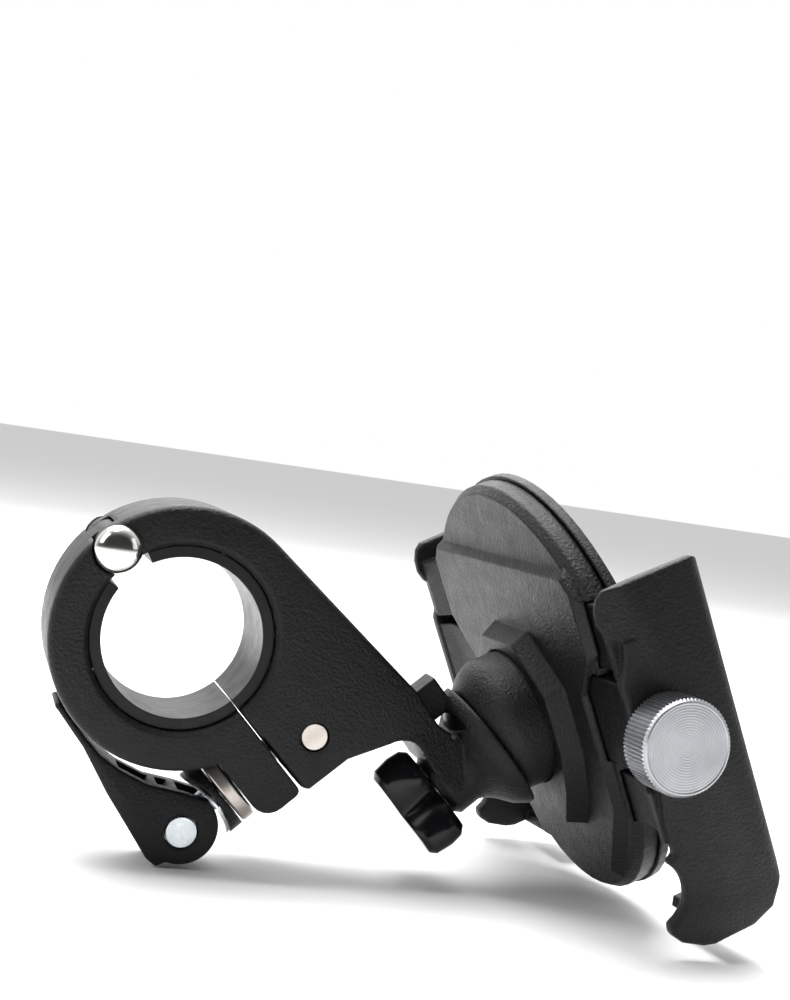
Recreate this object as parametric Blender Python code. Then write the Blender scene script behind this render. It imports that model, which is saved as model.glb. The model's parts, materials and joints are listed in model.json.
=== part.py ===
"""Phone mount for a handlebar: quick-release clamp, ball joint and a two-jaw cradle.

Frame: the origin is the centre of the clamp's bore, +Y runs along the handlebar, +Z is up
and +X points towards the cradle.  Sizes are millimetres; MM turns them into metres.
"""
from math import acos, asin, cos, degrees, pi, radians, sin, sqrt

import bmesh
import bpy
from mathutils import Matrix, Vector

MM = 0.001
GAP = 0.3                  # between pieces that touch

# --- clamp -----------------------------------------------------------------------------
BORE_R = 16.0              # bore of the clamp body
LINER_WALL = 1.7
CLAMP_OUTER_R = 22.8
CLAMP_WIDTH = 25.0
EDGE_ROUND = 1.2
LEVER_ROUND = 0.6
JAW_ROUND = 0.7
LINER_WIDTH = 21.0
SPLIT_ANGLE = -44.5        # direction of the split, from +X
SPLIT_GAP = 0.4
HINGE_R = 19.0             # hinge pin from the bore's centre, opposite the split
HINGE_PIN_R = 2.0
HINGE_HEAD_R = 4.1
HINGE_HEAD_HEIGHT = 2.4
KNUCKLE_R = 3.8
KNUCKLE_WIDTH = 12.4       # middle knuckle, on the swing jaw
EAR_THICKNESS = 8.3
EAR_REACH = 34.0           # ear's end from the bore's centre, along the split

# --- quick release ---------------------------------------------------------------------
ROD_REACH = 27.9           # rod from the bore's centre, along the split
ROD_R = 2.3
ROD_EYE_R = 4.4
ROD_EYE_WIDTH = 6.0
CROSS_PIN_R = 2.3
CROSS_PIN_DEPTH = 7.4      # cross pin inside the fixed half
CAM_PIN_R = 2.7
CAM_DRUM_R = 4.2
CAM_PIN_DEPTH = 20.8       # cam pin outside the split
CAM_LOBE_R = 6.5
CAM_LOBE_SHIFT = (-0.55, 0.5)   # lobe's centre from the cam pin, along the split and towards it
RING_R = 7.0
RING_THICKNESS = 2.7
SADDLE_THICKNESS = 2.7
SADDLE_HOLLOW_R = 14.5
SADDLE_PLATE = 0.5
LEVER_WIDTH = 12.0
LEVER_SLOT = 6.6
LEVER_REACH = 31.5         # lever's tip from the cam pin

# --- arm and ball joint ----------------------------------------------------------------
BALL_CENTRE = (68.3, 0.0, -7.0)
NECK_ANGLE = 44.5          # neck's axis above +X
BALL_R = 15.5              # outside of the dome
DOME_WALL = 2.0
DOME_MOUTH_ANGLE = 32.0    # half angle of the dome's opening for the stud
SKIRT_R = 12.9
CUP_RIM_DEPTH = 10.2       # cup's rim behind the ball's centre
CUP_WALL = 0.9
NECK_R = 6.6
NECK_END = 23.4            # end of the neck behind the ball's centre
RING_ANGLES = (27.0, 40.0)
FRICTION_RING = 0.7
STUD_R = 2.5
NUT_HALF_ANGLE = 38.0
WING_LENGTH = 7.8
WING_R = 10.8
WING_VALLEY_R = 4.8
WING_LOBES = 3

# --- cradle (its frame: x out through the phone, y along the jaws' slide, z up) ----------
CRADLE_PAN = 6.9
CRADLE_LEAN = 26.8
PHONE_WIDTH = 74.5
PHONE_THICKNESS = 8.2
PHONE_BACK = 10.4          # phone's back from the ball's centre
PHONE_BOTTOM = -33.4
HEAD_FACE = 2.1            # back cover's levels from the ball's centre
BAND_FACE = 0.6
BOSS_FACE = -3.0
COVER_FLOOR = 2.4
COVER_EDGE = 6.7
PLATE_THICKNESS = 2.3
PAD_THICKNESS = 0.9
HEAD_CENTRE = 6.9
HEAD_R = 36.3
HOUSING_HALF = 31.6
HOUSING_WAIST = 27.0
FOOT_CENTRE = -9.5
FOOT_R = 27.5
JAW_WALL = 2.6
JAW_PAD = 0.8
JAW_TOP = 28.6
JAW_BOTTOM = -36.4
JAW_LIP = 1.6              # thickness of the lip in front of the phone
JAW_LIP_REACH = 3.4        # how far the lip covers the phone's front
JAW_FOOT_REACH = 16.5      # how far the foot runs under the phone
SCREW_LINE = (4.9, 1.3)    # clamp screw's axis, x and z
SCREW_R = 2.0
KNOB_R = 8.2
KNOB_LENGTH = 7.6
PINION_Z = 18.8
PINION_TEETH = 10
GEAR_MODULE = 0.6

HALF = CLAMP_WIDTH / 2
LINER_R = BORE_R - GAP - LINER_WALL
PITCH_R = PINION_TEETH * GEAR_MODULE / 2
JAW_FACE = PHONE_WIDTH / 2 + GAP
JAW_INNER = JAW_FACE + JAW_PAD + GAP
JAW_OUTER = JAW_INNER + JAW_WALL
JAW_FRONT = PHONE_BACK + PHONE_THICKNESS + GAP + JAW_LIP
PLATE_BACK = COVER_EDGE + GAP
PAD_BACK = PLATE_BACK + PLATE_THICKNESS + GAP
CUP_R = BALL_R + GAP
NUT_R = BALL_R - DOME_WALL - GAP
FLANGE_R = SKIRT_R + 1.2
RETAINER_R = SKIRT_R + 2.3


# --- tools -------------------------------------------------------------------------------
def clear_scene():
    for item in list(bpy.data.objects):
        bpy.data.objects.remove(item, do_unlink=True)


def material(name, color, roughness, metallic=0.0):
    """One plain Principled material."""
    made = bpy.data.materials.new(name)
    made.use_nodes = True
    shader = made.node_tree.nodes["Principled BSDF"]
    shader.inputs["Base Color"].default_value = (*color, 1.0)
    shader.inputs["Roughness"].default_value = roughness
    shader.inputs["Metallic"].default_value = metallic
    return made


def frame(name, matrix):
    """An empty that carries pieces; matrix is in millimetres."""
    empty = bpy.data.objects.new(name, None)
    bpy.context.scene.collection.objects.link(empty)
    empty.matrix_world = Matrix.Translation(matrix.translation * MM) @ matrix.to_3x3().to_4x4()
    bpy.context.view_layer.update()
    return empty


def solid(bm, carrier, name="tool"):
    """Turn a bmesh in millimetres into an object carried by a frame."""
    bmesh.ops.recalc_face_normals(bm, faces=bm.faces)
    bmesh.ops.scale(bm, vec=(MM, MM, MM), verts=bm.verts)
    mesh = bpy.data.meshes.new(name)
    bm.to_mesh(mesh)
    bm.free()
    made = bpy.data.objects.new(name, mesh)
    bpy.context.scene.collection.objects.link(made)
    made.parent = carrier
    bpy.context.view_layer.update()
    return made


def prism(outline, axis, low, high, carrier, name="tool"):
    """Extrude an outline along an axis; the outline's two numbers are the other two axes."""
    bm = bmesh.new()
    spots = {"x": lambda p, d: (d, p[0], p[1]), "y": lambda p, d: (p[0], d, p[1]),
             "z": lambda p, d: (p[0], p[1], d)}[axis]
    rims = [[bm.verts.new(spots(p, d)) for p in outline] for d in (low, high)]
    bm.faces.new(rims[0])
    bm.faces.new(rims[1])
    for i in range(len(outline)):
        j = (i + 1) % len(outline)
        bm.faces.new((rims[0][i], rims[0][j], rims[1][j], rims[1][i]))
    return solid(bm, carrier, name)


def loft(outlines, carrier, name="tool"):
    """Join equal-length closed outlines of 3-D points, and cap both ends."""
    bm = bmesh.new()
    rims = [[bm.verts.new(p) for p in outline] for outline in outlines]
    bm.faces.new(rims[0])
    bm.faces.new(rims[-1])
    for one, two in zip(rims, rims[1:]):
        for i in range(len(one)):
            j = (i + 1) % len(one)
            bm.faces.new((one[i], one[j], two[j], two[i]))
    return solid(bm, carrier, name)


def box(low, high, carrier, name="tool"):
    outline = [(low[0], low[1]), (high[0], low[1]), (high[0], high[1]), (low[0], high[1])]
    return prism(outline, "z", low[2], high[2], carrier, name)


def turned(profile, start, along, carrier, name="tool", segments=48, closed=False):
    """Turn (distance, radius) points about the line from start in the direction along."""
    along = Vector(along).normalized()
    side = along.orthogonal().normalized()
    other = along.cross(side)
    bm = bmesh.new()
    rims = []
    for distance, radius in profile:
        centre = Vector(start) + along * distance
        if radius < 1e-6:
            rims.append([bm.verts.new(centre)])
            continue
        turns = [2 * pi * i / segments for i in range(segments)]
        rims.append([bm.verts.new(centre + (side * cos(t) + other * sin(t)) * radius) for t in turns])
    pairs = list(zip(rims, rims[1:]))
    if closed:
        pairs.append((rims[-1], rims[0]))
    for one, two in pairs:
        for i in range(segments):
            j = (i + 1) % segments
            corners = [one[i % len(one)], one[j % len(one)], two[j % len(two)], two[i % len(two)]]
            bm.faces.new(list(dict.fromkeys(corners)))
    return solid(bm, carrier, name)


def rod(radius, start, end, carrier, name="tool", segments=32):
    length = (Vector(end) - Vector(start)).length
    profile = [(0, 0), (0, radius), (length, radius), (length, 0)]
    return turned(profile, start, Vector(end) - Vector(start), carrier, name, segments)


def arc(centre, radius, first, last, steps):
    """Points on a circle, angles in degrees."""
    turns = [radians(first + (last - first) * i / steps) for i in range(steps + 1)]
    return [(centre[0] + radius * cos(t), centre[1] + radius * sin(t)) for t in turns]


def combine(target, tool, operation):
    """Boolean the tool into the target, then drop the tool."""
    step = target.modifiers.new("boolean", "BOOLEAN")
    step.operation = operation
    step.solver = "EXACT"
    step.object = tool
    bpy.context.view_layer.update()
    evaluated = target.evaluated_get(bpy.context.evaluated_depsgraph_get())
    mesh = bpy.data.meshes.new_from_object(evaluated)
    target.modifiers.clear()
    target.data = mesh
    bpy.data.objects.remove(tool, do_unlink=True)
    return target


def cut(target, *tools):
    for tool in tools:
        combine(target, tool, "DIFFERENCE")
    return target


def join(target, *tools):
    for tool in tools:
        combine(target, tool, "UNION")
    return target


def keep(target, tool):
    return combine(target, tool, "INTERSECT")


def soften(target, width, segments=1, angle=40):
    """Bevel the sharp edges."""
    step = target.modifiers.new("bevel", "BEVEL")
    step.width = width * MM
    step.segments = segments
    step.limit_method = "ANGLE"
    step.angle_limit = radians(angle)
    step.use_clamp_overlap = True
    bpy.context.view_layer.update()
    evaluated = target.evaluated_get(bpy.context.evaluated_depsgraph_get())
    mesh = bpy.data.meshes.new_from_object(evaluated)
    target.modifiers.clear()
    target.data = mesh
    return target


def finish(target, name, look, origin=None):
    """Name a piece, give it its material, and put its origin on its joint."""
    target.name = name
    target.data.name = name
    target.data.materials.clear()
    own = look.copy()
    own.name = name + "_" + look.name
    target.data.materials.append(own)
    target.data.shade_smooth()
    target.data.set_sharp_from_angle(angle=radians(35))
    if origin is not None:
        shift = Vector(origin) * MM
        target.data.transform(Matrix.Translation(-shift))
        target.location = shift
    return target


# --- clamp -------------------------------------------------------------------------------
def split_frame():
    """Frame of the split: x along the split, z into the fixed half."""
    return Matrix.Rotation(radians(-SPLIT_ANGLE), 4, "Y")


def hinge_point():
    turn = radians(SPLIT_ANGLE + 178)
    return (HINGE_R * cos(turn), HINGE_R * sin(turn))


def half_disc(side, world, split):
    """Half of the clamp's disc, on one side of the split."""
    disc = prism(arc((0, 0), CLAMP_OUTER_R, 0, 360 * 71 / 72, 71), "y", -HALF, HALF, world)
    soften(disc, EDGE_ROUND, 3)
    reach = 2 * CLAMP_OUTER_R
    low = SPLIT_GAP / 2 if side > 0 else -reach
    high = reach if side > 0 else -SPLIT_GAP / 2
    return keep(disc, box((-reach, -CLAMP_WIDTH, low), (reach, CLAMP_WIDTH, high), split))


def knuckle(low, high, radius, world):
    x, z = hinge_point()
    return rod(radius, (x, low, z), (x, high, z), world, segments=36)


def bore_cutter(world):
    """The bore with a chamfer at each face."""
    edge = 0.8
    profile = [(-HALF - 1, 0), (-HALF - 1, BORE_R + edge + 1), (-HALF + edge, BORE_R),
               (HALF - edge, BORE_R), (HALF + 1, BORE_R + edge + 1), (HALF + 1, 0)]
    return turned(profile, (0, 0, 0), (0, 1, 0), world, segments=72)


def along_neck(back, up=0.0):
    """World x and z of a point behind the ball's centre, and above the neck's axis."""
    turn = radians(NECK_ANGLE)
    x = BALL_CENTRE[0] - back * cos(turn) - up * sin(turn)
    z = BALL_CENTRE[2] - back * sin(turn) + up * cos(turn)
    return (x, z)


def split_point(along, inward):
    """World x and z of a point in the split's frame."""
    turn = radians(SPLIT_ANGLE)
    return (along * cos(turn) - inward * sin(turn), along * sin(turn) + inward * cos(turn))


def arm_outline():
    """Side outline of the arm plate: tangent to the clamp on top, hollow underneath."""
    top_turn = 51.5
    top = (CLAMP_OUTER_R * cos(radians(top_turn)), CLAMP_OUTER_R * sin(radians(top_turn)))
    slope = radians(top_turn - 90)
    end = (top[0] + 36.3 * cos(slope), top[1] + 36.3 * sin(slope))
    outline = [split_point(BORE_R, SPLIT_GAP / 2), (0, BORE_R + 2), top, end, (48.1, -10.6)]
    outline += [along_neck(15.2, 7.2), along_neck(15.2, -1.5), along_neck(21.0, -1.5)]
    outline += [along_neck(22.4, 5.6)]
    outline += arc((41.7, -18.4), 5.0, 35, 125, 8)
    outline += [split_point(35.0, 9.6), split_point(EAR_REACH + 0.8, SPLIT_GAP / 2 + 1.0)]
    outline += [split_point(EAR_REACH, SPLIT_GAP / 2)]
    return outline


def cup_body(world):
    """Bowl and neck, turned about the neck's axis."""
    turn = radians(NECK_ANGLE)
    back = Vector((-cos(turn), 0, -sin(turn)))
    rim = CUP_RIM_DEPTH
    inner = sqrt(CUP_R ** 2 - rim ** 2)
    profile = [(rim, 0), (rim, inner + CUP_WALL), (rim + 1.2, inner + CUP_WALL - 0.15),
               (rim + 3.3, inner - 0.9), (rim + 5.2, inner - 3.4), (rim + 6.8, NECK_R + 0.5),
               (rim + 8.0, NECK_R), (NECK_END - 1.2, NECK_R), (NECK_END, NECK_R - 1.2),
               (NECK_END, 0)]
    return turned(profile, BALL_CENTRE, back, world, segments=48)


def cup_seat(world):
    """Everything the cup and neck lose: the ball's seat, the ring's groove and the stud's hole."""
    turn = radians(NECK_ANGLE)
    back = Vector((-cos(turn), 0, -sin(turn)))
    profile = [(-CUP_R, 0)]
    for i in range(1, 24):
        angle = radians(180 - 180 * i / 24)
        profile.append((CUP_R * cos(angle), CUP_R * sin(angle)))
    profile.append((CUP_R, 0))
    seat = turned(profile, BALL_CENTRE, back, world, segments=48)
    deep = CUP_R + FRICTION_RING + GAP
    first, last = radians(RING_ANGLES[0] - 1), radians(RING_ANGLES[1] + 1)
    groove = [(CUP_R * 0.9 * cos(last), CUP_R * 0.9 * sin(last)), (deep * cos(last), deep * sin(last)),
              (deep * cos(first), deep * sin(first)), (CUP_R * 0.9 * cos(first), CUP_R * 0.9 * sin(first))]
    ring = turned(groove, BALL_CENTRE, back, world, segments=48, closed=True)
    start = Vector(BALL_CENTRE)
    hole = rod(STUD_R + GAP, start + back * 5, start + back * (NECK_END + 5), world, segments=32)
    return [seat, ring, hole]


def clamp_arm(world, split):
    """Fixed half of the clamp with the arm and the ball joint's cup, in one moulding."""
    body = half_disc(1, world, split)
    join(body, soften(prism(arm_outline(), "y", -HALF, HALF, world), EDGE_ROUND, 3))
    taper = [(38.0, HALF), (56.0, NECK_R - 0.4), (90.0, NECK_R - 0.4), (90.0, 60.0), (38.0, 60.0)]
    for side in (1, -1):
        sides = [(x, y * side) for x, y in taper]
        cut(body, prism(sides, "z", -60, 40, world))
    join(body, cup_body(world))
    lug = [along_neck(11.6, 17.0), along_neck(17.2, 17.0), along_neck(18.5, 5.0), along_neck(11.6, 10.2)]
    join(body, prism(lug, "y", -1.5, 4.5, world))
    window = [along_neck(13.0, 10.6), along_neck(13.0, 7.6), along_neck(16.2, 7.6), along_neck(16.2, 10.6)]
    cut(body, prism(window, "y", -8, 8, world))
    join(body, knuckle(0.02 - HALF, HALF - 0.02, KNUCKLE_R, world))
    middle = KNUCKLE_WIDTH / 2 + GAP
    cut(body, knuckle(-middle, middle, KNUCKLE_R + 2 * GAP, world), bore_cutter(world))
    cut(body, knuckle(-CLAMP_WIDTH, CLAMP_WIDTH, HINGE_PIN_R + GAP, world))
    slot = ROD_EYE_WIDTH / 2 + GAP
    deep = CROSS_PIN_DEPTH + ROD_EYE_R + 2 * GAP
    start = ROD_REACH - ROD_EYE_R - 2 * GAP
    cut(body, box((start, -slot, -1), (EAR_REACH + 6, slot, deep), split))
    ends = ((ROD_REACH, -CLAMP_WIDTH, CROSS_PIN_DEPTH), (ROD_REACH, CLAMP_WIDTH, CROSS_PIN_DEPTH))
    cut(body, rod(CROSS_PIN_R + GAP, ends[0], ends[1], split))
    cut(body, *cup_seat(world))
    return body


def swing_jaw(world, split):
    """Hinged half of the clamp, with the slotted ear that the rod drops into."""
    body = half_disc(-1, world, split)
    near = -SPLIT_GAP / 2
    far = -EAR_THICKNESS
    round_r = 3.6
    ear = [(BORE_R - 3, near), (BORE_R - 3, far)]
    ear += arc((EAR_REACH - round_r, far + round_r), round_r, -90, 0, 5)
    ear += arc((EAR_REACH - 1.2, near - 1.2), 1.2, 0, 90, 4)
    join(body, prism(ear, "y", -HALF, HALF, split))
    pocket = rod(RING_R + 2 * GAP, (ROD_REACH, 0, far), (ROD_REACH, 0, far - 12), split, segments=48)
    cut(body, pocket)
    middle = KNUCKLE_WIDTH / 2
    join(body, knuckle(-middle, middle, KNUCKLE_R, world))
    for side in (1, -1):
        ends = sorted((side * middle, side * CLAMP_WIDTH))
        cut(body, knuckle(ends[0], ends[1], KNUCKLE_R + 2 * GAP, world))
    cut(body, bore_cutter(world), knuckle(-CLAMP_WIDTH, CLAMP_WIDTH, HINGE_PIN_R + GAP, world))
    slot = ROD_EYE_WIDTH / 2 + GAP
    start = ROD_REACH - ROD_R - 3 * GAP
    cut(body, box((start, -slot, far - 10), (EAR_REACH + 6, slot, 1), split))
    return body


def liner(side, world):
    """Half of the smooth sleeve that grips the bar."""
    ends = (0.9, 164.0) if side > 0 else (194.0, 359.1)
    first, last = (SPLIT_ANGLE + end for end in ends)
    outline = arc((0, 0), BORE_R - GAP, first, last, 40) + arc((0, 0), LINER_R, last, first, 40)
    return prism(outline, "y", -LINER_WIDTH / 2, LINER_WIDTH / 2, world)


def hinge_pin(world):
    """Rivet with a domed head at each face."""
    x, z = hinge_point()
    base = HALF + GAP
    cap = []
    steps = 6
    for i in range(steps + 1):
        turn = pi / 2 * i / steps
        cap.append((base + HINGE_HEAD_HEIGHT * sin(turn), HINGE_HEAD_R * cos(turn)))
    profile = [(-d, r) for d, r in reversed(cap)] + [(-base, HINGE_PIN_R), (base, HINGE_PIN_R)] + cap
    return turned(profile, (x, 0, z), (0, 1, 0), world, segments=36)


# --- quick release -----------------------------------------------------------------------
def cross_pin(split):
    ends = ((ROD_REACH, 0.5 - HALF, CROSS_PIN_DEPTH), (ROD_REACH, HALF - 0.5, CROSS_PIN_DEPTH))
    return rod(CROSS_PIN_R, ends[0], ends[1], split, segments=32)


def draw_rod(split):
    """Eye bolt: the eye turns on the cross pin and the shank ends in the cam drum."""
    half = ROD_EYE_WIDTH / 2
    body = rod(ROD_EYE_R, (ROD_REACH, -half, CROSS_PIN_DEPTH), (ROD_REACH, half, CROSS_PIN_DEPTH), split)
    end = -CAM_PIN_DEPTH - CAM_DRUM_R - 0.6
    join(body, rod(ROD_R, (ROD_REACH, 0, CROSS_PIN_DEPTH - 2), (ROD_REACH, 0, end), split, segments=24))
    ends = ((ROD_REACH, -10, CROSS_PIN_DEPTH), (ROD_REACH, 10, CROSS_PIN_DEPTH))
    return cut(body, rod(CROSS_PIN_R + GAP, ends[0], ends[1], split))


def thrust_ring(split):
    """Plated ring that bears on the ear."""
    start = -EAR_THICKNESS - GAP
    edge = 0.35
    hole = ROD_R + GAP
    profile = [(0, hole), (0, RING_R - edge), (edge, RING_R), (RING_THICKNESS - edge, RING_R),
               (RING_THICKNESS, RING_R - edge), (RING_THICKNESS, hole)]
    return turned(profile, (ROD_REACH, 0, start), (0, 0, -1), split, segments=48, closed=True)


def saddle_start():
    return -EAR_THICKNESS - RING_THICKNESS - 2 * GAP


def saddle_bottom():
    """Level of the hollow's deepest line, just clear of the cam."""
    lowest = CAM_LOBE_SHIFT[1] + sqrt(CAM_LOBE_R ** 2 - CAM_LOBE_SHIFT[0] ** 2)
    return -CAM_PIN_DEPTH + lowest + GAP


def saddle_hollow(depth, split):
    """Round cutter along Y, depth above the hollow's finished face."""
    centre = saddle_bottom() + depth - SADDLE_HOLLOW_R
    ends = ((ROD_REACH, -20, centre), (ROD_REACH, 20, centre))
    return rod(SADDLE_HOLLOW_R, ends[0], ends[1], split, segments=96)


def saddle_washer(split):
    """Black washer with a hollow for the cam."""
    body = turned([(0, ROD_R + GAP), (0, RING_R), (SADDLE_THICKNESS, RING_R), (SADDLE_THICKNESS, ROD_R + GAP)],
                  (ROD_REACH, 0, saddle_start()), (0, 0, -1), split, segments=48, closed=True)
    return cut(body, saddle_hollow(SADDLE_PLATE + GAP, split))


def saddle_plate(split):
    """Thin steel wear plate that lines the hollow."""
    deep = SADDLE_THICKNESS + 2
    body = turned([(-1, ROD_R + GAP), (-1, RING_R - 0.2), (deep, RING_R - 0.2), (deep, ROD_R + GAP)],
                  (ROD_REACH, 0, saddle_start()), (0, 0, -1), split, segments=48, closed=True)
    cut(body, saddle_hollow(0, split))
    return keep(body, saddle_hollow(SADDLE_PLATE, split))


def cam_pin(split):
    """Barrel nut of the rod: a drum between the cheeks, with a pin end in each cheek."""
    half = LEVER_WIDTH / 2
    drum = ROD_EYE_WIDTH / 2
    profile = [(-half, 0), (-half, CAM_PIN_R), (-drum, CAM_PIN_R), (-drum, CAM_DRUM_R),
               (drum, CAM_DRUM_R), (drum, CAM_PIN_R), (half, CAM_PIN_R), (half, 0)]
    body = turned(profile, (ROD_REACH, 0, -CAM_PIN_DEPTH), (0, 1, 0), split, segments=36)
    ends = ((ROD_REACH, 0, 0), (ROD_REACH, 0, -CAM_PIN_DEPTH - 12))
    return cut(body, rod(ROD_R + GAP, ends[0], ends[1], split, segments=24))


def lever_outline():
    """Outline from the cam pin: x along the split, z towards the clamp."""
    lobe = arc(CAM_LOBE_SHIFT, CAM_LOBE_R, 96, -62, 22)
    tip = -LEVER_REACH
    outer = [(1.9, -7.1), (-0.2, -7.5), (-13.7, -5.7), (-22.6, -3.9), (tip + 1.0, -3.3)]
    end = arc((tip + 0.6, -2.8), 0.7, 230, 90, 4)
    inner = [(-28.6, -2.4), (-23.4, -2.6), (-19.6, -2.5), (-15.4, -1.5), (-10.4, 0.6), (-5.4, 4.3)]
    return lobe + outer + end + inner


def cam_lever(split):
    """Lever with an eccentric cam on two cheeks and a cored handle."""
    outline = [(x + ROD_REACH, z - CAM_PIN_DEPTH) for x, z in lever_outline()]
    half = LEVER_WIDTH / 2
    body = soften(prism(outline, "y", -half, half, split), LEVER_ROUND, 2)
    slot = LEVER_SLOT / 2
    start = ROD_REACH - CAM_DRUM_R - 1.6
    cut(body, box((start, -slot, -CAM_PIN_DEPTH - 20), (ROD_REACH + 20, slot, 0), split))
    pockets = ((-15.6, -9.8, -2.6), (-8.8, -6.9, -3.4))
    for left, right, deep in pockets:
        low = (ROD_REACH + left, -slot + 0.3, -CAM_PIN_DEPTH + deep)
        cut(body, box(low, (ROD_REACH + right, slot - 0.3, 0), split))
    ends = ((ROD_REACH, -20, -CAM_PIN_DEPTH), (ROD_REACH, 20, -CAM_PIN_DEPTH))
    return cut(body, rod(CAM_PIN_R + GAP, ends[0], ends[1], split, segments=36))


# --- ball joint --------------------------------------------------------------------------
def neck_line():
    turn = radians(NECK_ANGLE)
    return Vector((-cos(turn), 0, -sin(turn)))


def friction_ring(world):
    """Ring in the cup's groove that the dome slides on."""
    first, last = (radians(angle) for angle in RING_ANGLES)
    outside = CUP_R + FRICTION_RING
    steps = 4
    turns = [first + (last - first) * i / steps for i in range(steps + 1)]
    profile = [(CUP_R * cos(t), CUP_R * sin(t)) for t in turns]
    profile += [(outside * cos(t), outside * sin(t)) for t in reversed(turns)]
    return turned(profile, BALL_CENTRE, neck_line(), world, segments=48, closed=True)


def clamp_nut(world):
    """Round-backed nut inside the dome."""
    last = radians(NUT_HALF_ANGLE)
    first = asin((STUD_R + GAP) / NUT_R)
    steps = 7
    turns = [first + (last - first) * i / steps for i in range(steps + 1)]
    profile = [(NUT_R * cos(t), NUT_R * sin(t)) for t in turns]
    inner = NUT_R * cos(last) - 1.6
    profile += [(inner, NUT_R * sin(last) - 1.6), (inner, STUD_R + GAP)]
    return turned(profile, BALL_CENTRE, neck_line(), world, segments=48, closed=True)


def wing_stud(world):
    """Steel stud from the wing knob through the neck to the nut."""
    back = neck_line()
    start = Vector(BALL_CENTRE)
    inner = NUT_R * cos(radians(NUT_HALF_ANGLE)) - 2.6
    return rod(STUD_R, start + back * inner, start + back * (NECK_END + 5.6), world, segments=24)


def wing_knob(world):
    """Lobed knob moulded round the stud's head."""
    turn = radians(NECK_ANGLE)
    back = neck_line()
    side = Vector((sin(turn), 0, -cos(turn)))
    across = Vector((0, 1, 0))
    start = NECK_END + GAP
    mean = (WING_R + WING_VALLEY_R) / 2
    swing = (WING_R - WING_VALLEY_R) / 2
    levels = ((0.0, 0.86), (1.2, 0.97), (3.6, 1.0), (WING_LENGTH - 1.0, 0.96), (WING_LENGTH, 0.86))
    outlines = []
    for depth, scale in levels:
        centre = Vector(BALL_CENTRE) + back * (start + depth)
        rim = []
        for i in range(60):
            t = 2 * pi * i / 60
            radius = (mean + swing * cos(WING_LOBES * (t - radians(74)))) * scale
            rim.append(centre + (side * cos(t) + across * sin(t)) * radius)
        outlines.append(rim)
    body = loft(outlines, world)
    first = Vector(BALL_CENTRE) + back * (start - 2)
    last = Vector(BALL_CENTRE) + back * (NECK_END + 5.6 + GAP)
    return cut(body, rod(STUD_R + GAP, first, last, world, segments=24))


def ball_dome(cradle):
    """Dome with a mouth for the stud, a skirt and the flange that turns in the back cover."""
    inner = BALL_R - DOME_WALL
    mouth = radians(DOME_MOUTH_ANGLE)
    shoulder = asin(11.7 / BALL_R)
    inside = SKIRT_R - 1.2
    hip = asin(inside / inner)
    steps = 6
    outer_turns = [mouth + (shoulder - mouth) * i / steps for i in range(steps + 1)]
    inner_turns = [hip + (mouth - hip) * i / steps for i in range(steps + 1)]
    profile = [(-BALL_R * cos(t), BALL_R * sin(t)) for t in outer_turns]
    profile += [(-9.0, SKIRT_R - 0.5), (-7.8, SKIRT_R), (flange_back(), SKIRT_R)]
    profile += [(flange_back(), FLANGE_R), (flange_front(), FLANGE_R), (flange_front(), inside)]
    profile += [(-inner * cos(t), inner * sin(t)) for t in inner_turns]
    return turned(profile, (0, 0, 0), (1, 0, 0), cradle, segments=48, closed=True)


def flange_back():
    return BOSS_FACE + 1.9


def flange_front():
    return flange_back() + 1.1


def retaining_ring(cradle):
    """Split snap ring in the back cover's groove, in front of the dome's flange."""
    start = flange_front() + GAP
    profile = [(start, SKIRT_R - 0.6), (start, RETAINER_R), (start + 1.0, RETAINER_R), (start + 1.0, SKIRT_R - 0.6)]
    body = turned(profile, (0, 0, 0), (1, 0, 0), cradle, segments=48, closed=True)
    return cut(body, box((start - 1, -1.5, -20), (start + 2, 1.5, 0), cradle))


# --- cradle housing ----------------------------------------------------------------------
def housing_outline(margin=0.0):
    """Back view of the housing: a wide round head, a waist and a round foot."""
    side = HOUSING_HALF - margin
    waist = HOUSING_WAIST - margin
    head = HEAD_R - margin
    foot = FOOT_R - margin
    corner = degrees(acos(side / head))
    low = degrees(acos(min(0.999, (waist - 1.0) / foot)))
    right = arc((0, HEAD_CENTRE), head, corner, 90, 12)
    left = [(-y, z) for y, z in reversed(right[:-1])]
    outline = right + left
    outline += [(-side, HEAD_CENTRE + 8.5), (-waist, HEAD_CENTRE - 3.0), (-waist, FOOT_CENTRE - 7.0)]
    outline += arc((0, FOOT_CENTRE), foot, 180 + low, 360 - low, 16)
    outline += [(waist, FOOT_CENTRE - 7.0), (waist, HEAD_CENTRE - 3.0), (side, HEAD_CENTRE + 8.5)]
    return outline


def boss_outline(grow):
    """Raised field round the dome."""
    half = [(6.5, 15.2), (15.0, 6.5), (15.0, -4.5), (12.5, -12.5), (8.5, -19.5)]
    points = half + [(-y, z) for y, z in reversed(half)]
    size = [sqrt(y * y + z * z) for y, z in points]
    return [(y * (1 + grow / s), z * (1 + grow / s)) for (y, z), s in zip(points, size)]


def level(outline, x):
    return [(x, y, z) for y, z in outline]


def slide_slots(side, grow, cradle):
    """Three slots through the housing's side for a jaw's arms."""
    reach = sorted((side * 4.0, side * 60.0))
    slots = []
    for (low, high), (back, front) in zip(arm_heights(), arm_depths()):
        first = (back - grow, reach[0], low - grow)
        last = (front + grow, reach[1], high + grow)
        slots.append(box(first, last, cradle))
    return slots


def arm_back():
    return COVER_FLOOR + GAP


def arm_front():
    return COVER_EDGE - GAP


def arm_depths():
    """Back and front face of the upper, middle and lower arms; the middle one holds the screw."""
    plain = (arm_back(), arm_front())
    return (plain, (SCREW_LINE[0] - 2.9, SCREW_LINE[0] + 2.9), plain)


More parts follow.
